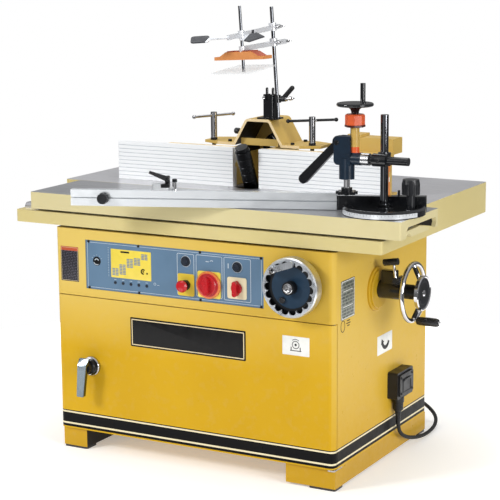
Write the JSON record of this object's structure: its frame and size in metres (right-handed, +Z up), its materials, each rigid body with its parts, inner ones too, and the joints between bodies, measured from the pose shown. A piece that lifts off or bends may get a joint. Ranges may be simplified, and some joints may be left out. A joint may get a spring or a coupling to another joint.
{
  "type": "spindle moulder",
  "caption": "Floor-standing spindle moulder with tilting spindle, sliding table with mitre gauge and clamp, ribbed fence with hood and pressure guard, and handwheels on a sheet-metal cabinet.",
  "frame": {"origin": "middle of the machine's box on the floor", "axes": "+X to the operator's right along the table, +Y from the operator towards the back, +Z up"},
  "size_m": [1.4375, 1.0658, 1.4938],
  "materials": {
    "cabinet_paint": "satin",
    "table_paint": "satin",
    "table_steel": "ground",
    "panel_grey": "satin",
    "black_paint": "satin",
    "black_plastic": "matte",
    "red_plastic": "gloss",
    "button_plastic": "gloss",
    "chrome": "polished",
    "steel": "machined",
    "black_steel": "machined",
    "cast_iron": "rough",
    "alu_white": "anodised",
    "wheel_alu": "machined",
    "wheel_blue": "satin",
    "orange_plastic": "gloss",
    "clear_plastic": "clear",
    "rubber": "matte",
    "motor_grey": "satin"
  },
  "bodies": {
    "machine": {"cabinet_shell": "cabinet_paint", "front_fascia": "cabinet_paint", "base_skids": "cabinet_paint", "levelling_pads": "black_paint", "table_casting": "table_paint", "table_ring": "table_steel", "slide_rails": "steel", "control_panel": "panel_grey", "tilt_boss": "cabinet_paint", "shaft_bearings": "black_paint", "power_fittings": "black_plastic", "plug": "black_plastic", "lead": "rubber", "trunnion_brackets": "cast_iron", "door_hinges": "steel"},
    "door": {"door": "cabinet_paint"},
    "door_handle": {"door_handle": "chrome"},
    "stop_button": {"stop_button": "red_plastic"},
    "mains_knob": {"mains_knob": "red_plastic"},
    "selector_knob": {"selector_knob": "red_plastic"},
    "start_button": {"start_button": "button_plastic"},
    "reset_button": {"reset_button": "button_plastic"},
    "lift_wheel": {"lift_wheel_rim": "wheel_alu", "lift_wheel_disc": "wheel_blue"},
    "lift_handle": {"lift_handle": "chrome"},
    "tilt_wheel": {"tilt_handwheel": "chrome"},
    "crank_grip": {"crank_grip": "black_plastic"},
    "tilt_lock": {"tilt_lock_lever": "black_plastic"},
    "tilt_unit": {"tilt_frame": "cast_iron"},
    "carriage": {"lift_carriage": "steel", "motor": "motor_grey", "drive_belt": "rubber"},
    "motor_pulley": {"motor_pulley": "steel"},
    "spindle": {"spindle_shaft": "black_steel", "spindle_collars": "black_steel"},
    "sliding_table": {"sliding_table": "table_paint"},
    "mitre_gauge": {"mitre_base": "black_paint", "mitre_fence": "alu_white"},
    "mitre_lock_knob": {"mitre_lock_knob": "black_plastic"},
    "fence_end_knob": {"fence_end_knob": "black_plastic"},
    "stop_carrier": {"stop_carrier": "black_paint"},
    "flip_stop": {"flip_stop": "black_paint"},
    "clamp_column": {"clamp_column": "chrome"},
    "cross_clamp": {"cross_clamp": "black_paint"},
    "clamp_head": {"clamp_head": "black_paint"},
    "clamp_lever": {"clamp_lever": "black_paint"},
    "clamp_plunger": {"clamp_plunger": "steel"},
    "clamp_wheel": {"clamp_wheel": "black_paint"},
    "fence": {"fence_hood": "table_paint", "guard_holder": "black_paint"},
    "left_plate": {"fence_plate_left": "alu_white"},
    "right_plate": {"fence_plate_right": "alu_white"},
    "left_screw": {"fence_screw_left": "steel"},
    "right_screw": {"fence_screw_right": "steel"},
    "holder_lever": {"holder_lever": "black_plastic"},
    "guard_post": {"guard_post": "chrome"},
    "guard_arms": {"guard_arms": "steel"},
    "shoe_rod": {"shoe_rod": "chrome", "pressure_shoe": "orange_plastic", "clear_plate": "clear_plastic"}
  },
  "joints": [
    {"name": "table_slide", "type": "slide", "parent": "machine", "child": "sliding_table", "axis": [1, 0, 0], "range_m": [-0.55, 0.45]},
    {"name": "mitre_swing", "type": "hinge", "parent": "sliding_table", "child": "mitre_gauge", "pos_m": [0.59075, -0.22365, 0.88], "axis": [0, 0, 1], "range_deg": [-20, 50]},
    {"name": "mitre_lock_turn", "type": "hinge", "parent": "mitre_gauge", "child": "mitre_lock_knob", "pos_m": [0.67211, -0.20724, 0.94], "axis": [0, 0, 1], "range_deg": [-180, 180]},
    {"name": "end_knob_turn", "type": "hinge", "parent": "mitre_gauge", "child": "fence_end_knob", "pos_m": [-0.25995, -0.49521, 0.908], "axis": [-0.3486, 0.9373, 0], "range_deg": [-180, 180]},
    {"name": "stop_slide", "type": "slide", "parent": "mitre_gauge", "child": "stop_carrier", "axis": [0.9373, 0.3486, 0], "range_m": [-0.25, 0.28]},
    {"name": "stop_flip", "type": "hinge", "parent": "stop_carrier", "child": "flip_stop", "pos_m": [-0.07525, -0.40945, 0.9703], "axis": [-0.3486, 0.9373, 0], "range_deg": [-10, 120]},
    {"name": "column_swivel", "type": "hinge", "parent": "mitre_gauge", "child": "clamp_column", "pos_m": [0.59075, -0.22365, 1.185], "axis": [0, 0, 1], "range_deg": [-10, 60]},
    {"name": "clamp_height", "type": "slide", "parent": "clamp_column", "child": "cross_clamp", "axis": [0, 0, 1], "range_m": [0, 0.1]},
    {"name": "bar_slide", "type": "slide", "parent": "cross_clamp", "child": "clamp_head", "axis": [1, 0, 0], "range_m": [-0.05, 0.01]},
    {"name": "clamp_lever_swing", "type": "hinge", "parent": "clamp_head", "child": "clamp_lever", "pos_m": [0.45275, -0.25465, 1.098], "axis": [0, 1, 0], "range_deg": [0, 90]},
    {"name": "clamp_plunge", "type": "slide", "parent": "clamp_head", "child": "clamp_plunger", "axis": [0, 0, 1], "range_m": [0, 0.02]},
    {"name": "clamp_wheel_turn", "type": "hinge", "parent": "clamp_head", "child": "clamp_wheel", "pos_m": [0.50575, -0.25465, 1.146], "axis": [0, 0, 1], "continuous": true},
    {"name": "door_hinge", "type": "hinge", "parent": "machine", "child": "door", "pos_m": [0.47575, -0.33365, 0.072], "axis": [0, 0, 1], "range_deg": [0, 110]},
    {"name": "door_handle_turn", "type": "hinge", "parent": "door", "child": "door_handle", "pos_m": [-0.42225, -0.34815, 0.303], "axis": [0, 1, 0], "range_deg": [0, 90]},
    {"name": "stop_press", "type": "slide", "parent": "machine", "child": "stop_button", "axis": [0, 1, 0], "range_m": [0, 0.005], "stiffness_N_per_m": 1500},
    {"name": "mains_turn", "type": "hinge", "parent": "machine", "child": "mains_knob", "pos_m": [0.03775, -0.34665, 0.626], "axis": [0, 1, 0], "range_deg": [0, 90]},
    {"name": "selector_turn", "type": "hinge", "parent": "machine", "child": "selector_knob", "pos_m": [0.13975, -0.34665, 0.6245], "axis": [0, 1, 0], "range_deg": [-45, 45]},
    {"name": "start_press", "type": "slide", "parent": "machine", "child": "start_button", "axis": [0, 1, 0], "range_m": [0, 0.003], "stiffness_N_per_m": 800},
    {"name": "reset_press", "type": "slide", "parent": "machine", "child": "reset_button", "axis": [0, 1, 0], "range_m": [0, 0.003], "stiffness_N_per_m": 800},
    {"name": "lift_wheel_turn", "type": "hinge", "parent": "machine", "child": "lift_wheel", "pos_m": [0.35575, -0.34815, 0.657], "axis": [0, 1, 0], "range_deg": [-1800, 1260]},
    {"name": "lift_handle_fold", "type": "hinge", "parent": "lift_wheel", "child": "lift_handle", "pos_m": [0.30375, -0.41565, 0.712], "axis": [0.3272, 0, -0.9449], "range_deg": [0, 90]},
    {"name": "tilt_wheel_turn", "type": "hinge", "parent": "machine", "child": "tilt_wheel", "pos_m": [0.48175, -0.03365, 0.597], "axis": [1, 0, 0], "range_deg": [-63, 414]},
    {"name": "crank_grip_spin", "type": "hinge", "parent": "tilt_wheel", "child": "crank_grip", "pos_m": [0.60975, -0.03365, 0.505], "axis": [1, 0, 0], "continuous": true},
    {"name": "spindle_tilt", "type": "hinge", "parent": "machine", "child": "tilt_unit", "pos_m": [-0.03925, 0.08035, 0.88], "axis": [1, 0, 0], "range_deg": [-26, 4]},
    {"name": "spindle_lift", "type": "slide", "parent": "tilt_unit", "child": "carriage", "axis": [0, -0.4384, 0.8988], "range_m": [-0.05, 0.035]},
    {"name": "spindle_spin", "type": "hinge", "parent": "carriage", "child": "spindle", "pos_m": [-0.03925, 0.08035, 0.88], "axis": [0, -0.4384, 0.8988], "continuous": true},
    {"name": "motor_spin", "type": "hinge", "parent": "carriage", "child": "motor_pulley", "pos_m": [-0.25425, 0.2294, 0.57441], "axis": [0, -0.4384, 0.8988], "continuous": true},
    {"name": "tilt_lock_turn", "type": "hinge", "parent": "machine", "child": "tilt_lock", "pos_m": [0.56225, -0.03365, 0.635], "axis": [0, 1, 0], "range_deg": [-30, 10]},
    {"name": "fence_slide", "type": "slide", "parent": "machine", "child": "fence", "axis": [0, 1, 0], "range_m": [-0.01, 0.07]},
    {"name": "left_plate_slide", "type": "slide", "parent": "fence", "child": "left_plate", "axis": [1, 0, 0], "range_m": [-0.08, 0.02]},
    {"name": "right_plate_slide", "type": "slide", "parent": "fence", "child": "right_plate", "axis": [1, 0, 0], "range_m": [-0.012, 0.08]},
    {"name": "left_screw_turn", "type": "hinge", "parent": "fence", "child": "left_screw", "pos_m": [-0.23125, 0.15835, 1.12], "axis": [0, 0, 1], "continuous": true},
    {"name": "right_screw_turn", "type": "hinge", "parent": "fence", "child": "right_screw", "pos_m": [0.15275, 0.15835, 1.12], "axis": [0, 0, 1], "continuous": true},
    {"name": "holder_lever_turn", "type": "hinge", "parent": "fence", "child": "holder_lever", "pos_m": [0.04213, 0.15235, 1.17717], "axis": [0.9978, 0, 0.0663], "range_deg": [-40, 40]},
    {"name": "guard_lift", "type": "slide", "parent": "fence", "child": "guard_post", "axis": [-0.0663, 0, 0.9978], "range_m": [0, 0.1]},
    {"name": "guard_swing", "type": "hinge", "parent": "guard_post", "child": "guard_arms", "pos_m": [0.02675, 0.15235, 1.107], "axis": [-0.0663, 0, 0.9978], "range_deg": [-60, 40]},
    {"name": "shoe_lift", "type": "slide", "parent": "guard_arms", "child": "shoe_rod", "axis": [-0.0663, 0, 0.9978], "range_m": [-0.05, 0]}
  ],
  "couplings": [
    {"joint": "clamp_plunge", "follows": "clamp_lever_swing", "m_per_rad": 0.0127},
    {"joint": "spindle_lift", "follows": "lift_wheel_turn", "m_per_rad": 0.0015915},
    {"joint": "spindle_tilt", "follows": "tilt_wheel_turn", "ratio": -0.062696},
    {"joint": "motor_spin", "follows": "spindle_spin", "ratio": 0.64286}
  ]
}
